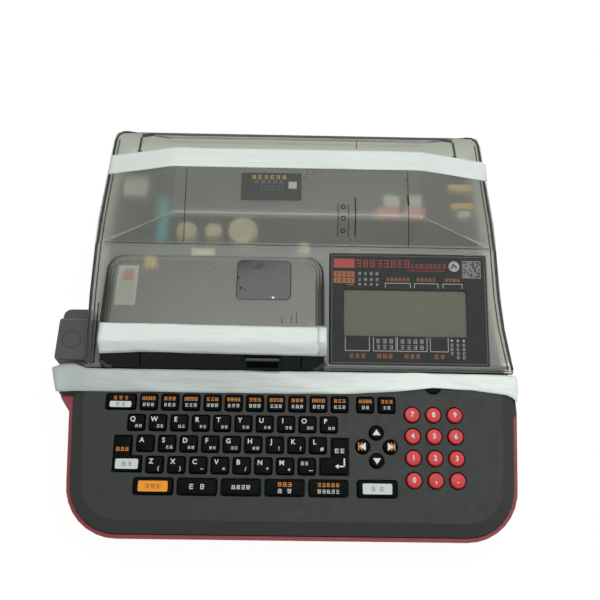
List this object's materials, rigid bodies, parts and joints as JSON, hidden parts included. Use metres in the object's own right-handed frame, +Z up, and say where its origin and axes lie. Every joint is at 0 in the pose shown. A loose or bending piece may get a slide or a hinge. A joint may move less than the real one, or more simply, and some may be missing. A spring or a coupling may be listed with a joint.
{
  "type": "tube and label marking printer",
  "caption": "Desktop tube and label marking printer with keyboard deck, display and a hinged smoked lid over the printing mechanism.",
  "frame": {"origin": "centre of the machine at the underside of its feet", "axes": "+X to the operator's right, +Y towards the hinge at the back, +Z up"},
  "size_m": [0.3072, 0.2852, 0.0818],
  "materials": {
    "case_red": "satin moulded plastic",
    "case_dark": "fine-textured moulded plastic",
    "key_black": "matt key plastic",
    "key_red": "matt key plastic",
    "grey_plastic": "satin moulded plastic",
    "smoked_cover": "smoked transparent polycarbonate",
    "clear_window": "clear polycarbonate",
    "panel_film": "printed film",
    "lcd_glass": "unlit liquid crystal glass",
    "rubber": "matt",
    "steel": "brushed",
    "circuit_board": "solder resist",
    "nylon": "natural nylon",
    "lever_teal": "satin moulded plastic"
  },
  "bodies": {
    "base": {"lower_case": "case_red", "top_case": "case_dark", "exit_housing": "grey_plastic", "front_foot": "rubber", "rear_foot": "rubber", "rear_sockets": "key_black", "main_board": "circuit_board", "key_board": "circuit_board", "display_housing": "case_dark", "display_panel": "panel_film", "lcd_module": "lcd_glass", "cover_hinge_rod": "steel", "mechanism_plate": "steel", "stepper_motor": "steel", "tube_guide": "nylon", "ribbon_cassette": "case_dark"},
    "cover": {"clear_cover": "smoked_cover", "view_window": "clear_window", "cover_front_panel": "key_black"},
    "cover_latch": {"cover_latch": "grey_plastic"},
    "cover_release_button": {"cover_release_button": "grey_plastic"},
    "motor_pinion": {"motor_pinion": "nylon"},
    "platen_roller": {"platen_roller": "rubber"},
    "idler_gear": {"idler_gear": "nylon"},
    "feed_roller": {"feed_roller": "rubber"},
    "pinch_roller": {"pinch_roller": "rubber"},
    "head_arm": {"head_arm": "grey_plastic"},
    "head_release_lever": {"head_release_lever": "lever_teal"},
    "cutter_blade": {"cutter_blade": "steel"},
    "takeup_spool": {"takeup_spool": "key_black"},
    "supply_spool": {"supply_spool": "key_black"},
    "function_keys": {"function_keys": "key_black"},
    "upper_letter_keys": {"upper_letter_keys": "key_black"},
    "middle_letter_keys": {"middle_letter_keys": "key_black"},
    "lower_letter_keys": {"lower_letter_keys": "key_black"},
    "power_key": {"power_key": "key_black"},
    "shift_key": {"shift_key": "key_black"},
    "input_key": {"input_key": "key_black"},
    "space_key": {"space_key": "key_black"},
    "convert_key": {"convert_key": "key_black"},
    "block_key": {"block_key": "key_black"},
    "confirm_key": {"confirm_key": "key_black"},
    "print_key": {"print_key": "key_black"},
    "enter_key": {"enter_key": "key_black"},
    "key_7": {"key_7": "key_red"},
    "key_8": {"key_8": "key_red"},
    "key_9": {"key_9": "key_red"},
    "key_4": {"key_4": "key_red"},
    "key_5": {"key_5": "key_red"},
    "key_6": {"key_6": "key_red"},
    "key_1": {"key_1": "key_red"},
    "key_2": {"key_2": "key_red"},
    "key_3": {"key_3": "key_red"},
    "key_0": {"key_0": "key_red"},
    "key_comma": {"key_comma": "key_red"},
    "key_point": {"key_point": "key_red"},
    "arrow_up": {"arrow_up": "key_black"},
    "arrow_down": {"arrow_down": "key_black"},
    "arrow_left": {"arrow_left": "key_black"},
    "arrow_right": {"arrow_right": "key_black"}
  },
  "joints": [
    {"name": "cover_hinge", "type": "hinge", "parent": "base", "child": "cover", "pos_m": [0.0062, 0.1352, 0.044], "axis": [-1, 0, 0], "range_deg": [0, 80]},
    {"name": "lever_turn", "type": "hinge", "parent": "base", "child": "head_release_lever", "pos_m": [-0.0888, 0.058, 0.052], "axis": [0, 0, 1], "range_deg": [0, 50]},
    {"name": "head_swing", "type": "hinge", "parent": "base", "child": "head_arm", "pos_m": [-0.0478, -0.006, 0.045], "axis": [0, 0, 1], "range_deg": [0, 10]},
    {"name": "latch_pull", "type": "slide", "parent": "cover", "child": "cover_latch", "axis": [0, -0.8045, 0.594], "range_m": [0, 0.0015], "stiffness_N_per_m": 800, "springref_m": -0.0005},
    {"name": "release_push", "type": "slide", "parent": "base", "child": "cover_release_button", "axis": [0, 0, -1], "range_m": [0, 0.0015], "stiffness_N_per_m": 600, "springref_m": -0.0005},
    {"name": "cutter_slide", "type": "slide", "parent": "base", "child": "cutter_blade", "axis": [0, -1, 0], "range_m": [0, 0.006]},
    {"name": "platen_spin", "type": "hinge", "parent": "base", "child": "platen_roller", "pos_m": [-0.0158, -0.0172, 0.045], "axis": [0, 0, 1], "continuous": true},
    {"name": "pinion_spin", "type": "hinge", "parent": "base", "child": "motor_pinion", "pos_m": [-0.02344, -0.00956, 0.036], "axis": [0, 0, 1], "continuous": true},
    {"name": "idler_spin", "type": "hinge", "parent": "base", "child": "idler_gear", "pos_m": [-0.0048, -0.0124, 0.036], "axis": [0, 0, 1], "continuous": true},
    {"name": "feed_spin", "type": "hinge", "parent": "base", "child": "feed_roller", "pos_m": [0.0062, -0.0172, 0.045], "axis": [0, 0, 1], "continuous": true},
    {"name": "pinch_spin", "type": "hinge", "parent": "base", "child": "pinch_roller", "pos_m": [0.0062, -0.0028, 0.045], "axis": [0, 0, 1], "continuous": true},
    {"name": "takeup_spin", "type": "hinge", "parent": "base", "child": "takeup_spool", "pos_m": [-0.0398, 0.035, 0.045], "axis": [0, 0, 1], "continuous": true},
    {"name": "supply_spin", "type": "hinge", "parent": "base", "child": "supply_spool", "pos_m": [0.0002, 0.035, 0.045], "axis": [0, 0, 1], "continuous": true},
    {"name": "function_keys_press", "type": "slide", "parent": "base", "child": "function_keys", "axis": [0, 0.1219, -0.9925], "range_m": [0, 0.001], "stiffness_N_per_m": 1500, "springref_m": -0.0005},
    {"name": "upper_letter_keys_press", "type": "slide", "parent": "base", "child": "upper_letter_keys", "axis": [0, 0.1219, -0.9925], "range_m": [0, 0.001], "stiffness_N_per_m": 1500, "springref_m": -0.0005},
    {"name": "middle_letter_keys_press", "type": "slide", "parent": "base", "child": "middle_letter_keys", "axis": [0, 0.1219, -0.9925], "range_m": [0, 0.001], "stiffness_N_per_m": 1500, "springref_m": -0.0005},
    {"name": "lower_letter_keys_press", "type": "slide", "parent": "base", "child": "lower_letter_keys", "axis": [0, 0.1219, -0.9925], "range_m": [0, 0.001], "stiffness_N_per_m": 1500, "springref_m": -0.0005},
    {"name": "power_key_press", "type": "slide", "parent": "base", "child": "power_key", "axis": [0, 0.1219, -0.9925], "range_m": [0, 0.001], "stiffness_N_per_m": 500, "springref_m": -0.0005},
    {"name": "shift_key_press", "type": "slide", "parent": "base", "child": "shift_key", "axis": [0, 0.1219, -0.9925], "range_m": [0, 0.001], "stiffness_N_per_m": 500, "springref_m": -0.0005},
    {"name": "input_key_press", "type": "slide", "parent": "base", "child": "input_key", "axis": [0, 0.1219, -0.9925], "range_m": [0, 0.001], "stiffness_N_per_m": 500, "springref_m": -0.0005},
    {"name": "space_key_press", "type": "slide", "parent": "base", "child": "space_key", "axis": [0, 0.1219, -0.9925], "range_m": [0, 0.001], "stiffness_N_per_m": 500, "springref_m": -0.0005},
    {"name": "convert_key_press", "type": "slide", "parent": "base", "child": "convert_key", "axis": [0, 0.1219, -0.9925], "range_m": [0, 0.001], "stiffness_N_per_m": 500, "springref_m": -0.0005},
    {"name": "block_key_press", "type": "slide", "parent": "base", "child": "block_key", "axis": [0, 0.1219, -0.9925], "range_m": [0, 0.001], "stiffness_N_per_m": 500, "springref_m": -0.0005},
    {"name": "confirm_key_press", "type": "slide", "parent": "base", "child": "confirm_key", "axis": [0, 0.1219, -0.9925], "range_m": [0, 0.001], "stiffness_N_per_m": 500, "springref_m": -0.0005},
    {"name": "print_key_press", "type": "slide", "parent": "base", "child": "print_key", "axis": [0, 0.1219, -0.9925], "range_m": [0, 0.001], "stiffness_N_per_m": 500, "springref_m": -0.0005},
    {"name": "enter_key_press", "type": "slide", "parent": "base", "child": "enter_key", "axis": [0, 0.1219, -0.9925], "range_m": [0, 0.001], "stiffness_N_per_m": 500, "springref_m": -0.0005},
    {"name": "key_7_press", "type": "slide", "parent": "base", "child": "key_7", "axis": [0, 0.1219, -0.9925], "range_m": [0, 0.001], "stiffness_N_per_m": 500, "springref_m": -0.0005},
    {"name": "key_8_press", "type": "slide", "parent": "base", "child": "key_8", "axis": [0, 0.1219, -0.9925], "range_m": [0, 0.001], "stiffness_N_per_m": 500, "springref_m": -0.0005},
    {"name": "key_9_press", "type": "slide", "parent": "base", "child": "key_9", "axis": [0, 0.1219, -0.9925], "range_m": [0, 0.001], "stiffness_N_per_m": 500, "springref_m": -0.0005},
    {"name": "key_4_press", "type": "slide", "parent": "base", "child": "key_4", "axis": [0, 0.1219, -0.9925], "range_m": [0, 0.001], "stiffness_N_per_m": 500, "springref_m": -0.0005},
    {"name": "key_5_press", "type": "slide", "parent": "base", "child": "key_5", "axis": [0, 0.1219, -0.9925], "range_m": [0, 0.001], "stiffness_N_per_m": 500, "springref_m": -0.0005},
    {"name": "key_6_press", "type": "slide", "parent": "base", "child": "key_6", "axis": [0, 0.1219, -0.9925], "range_m": [0, 0.001], "stiffness_N_per_m": 500, "springref_m": -0.0005},
    {"name": "key_1_press", "type": "slide", "parent": "base", "child": "key_1", "axis": [0, 0.1219, -0.9925], "range_m": [0, 0.001], "stiffness_N_per_m": 500, "springref_m": -0.0005},
    {"name": "key_2_press", "type": "slide", "parent": "base", "child": "key_2", "axis": [0, 0.1219, -0.9925], "range_m": [0, 0.001], "stiffness_N_per_m": 500, "springref_m": -0.0005},
    {"name": "key_3_press", "type": "slide", "parent": "base", "child": "key_3", "axis": [0, 0.1219, -0.9925], "range_m": [0, 0.001], "stiffness_N_per_m": 500, "springref_m": -0.0005},
    {"name": "key_0_press", "type": "slide", "parent": "base", "child": "key_0", "axis": [0, 0.1219, -0.9925], "range_m": [0, 0.001], "stiffness_N_per_m": 500, "springref_m": -0.0005},
    {"name": "key_comma_press", "type": "slide", "parent": "base", "child": "key_comma", "axis": [0, 0.1219, -0.9925], "range_m": [0, 0.001], "stiffness_N_per_m": 500, "springref_m": -0.0005},
    {"name": "key_point_press", "type": "slide", "parent": "base", "child": "key_point", "axis": [0, 0.1219, -0.9925], "range_m": [0, 0.001], "stiffness_N_per_m": 500, "springref_m": -0.0005},
    {"name": "arrow_up_press", "type": "slide", "parent": "base", "child": "arrow_up", "axis": [0, 0.1219, -0.9925], "range_m": [0, 0.001], "stiffness_N_per_m": 500, "springref_m": -0.0005},
    {"name": "arrow_down_press", "type": "slide", "parent": "base", "child": "arrow_down", "axis": [0, 0.1219, -0.9925], "range_m": [0, 0.001], "stiffness_N_per_m": 500, "springref_m": -0.0005},
    {"name": "arrow_left_press", "type": "slide", "parent": "base", "child": "arrow_left", "axis": [0, 0.1219, -0.9925], "range_m": [0, 0.001], "stiffness_N_per_m": 500, "springref_m": -0.0005},
    {"name": "arrow_right_press", "type": "slide", "parent": "base", "child": "arrow_right", "axis": [0, 0.1219, -0.9925], "range_m": [0, 0.001], "stiffness_N_per_m": 500, "springref_m": -0.0005}
  ],
  "couplings": [
    {"joint": "head_swing", "follows": "lever_turn", "ratio": 0.2},
    {"joint": "pinion_spin", "follows": "platen_spin", "ratio": -2},
    {"joint": "idler_spin", "follows": "platen_spin", "ratio": -1.5},
    {"joint": "feed_spin", "follows": "platen_spin", "ratio": 1},
    {"joint": "pinch_spin", "follows": "platen_spin", "ratio": -1},
    {"joint": "takeup_spin", "follows": "platen_spin", "ratio": -0.6},
    {"joint": "supply_spin", "follows": "platen_spin", "ratio": -0.35}
  ]
}
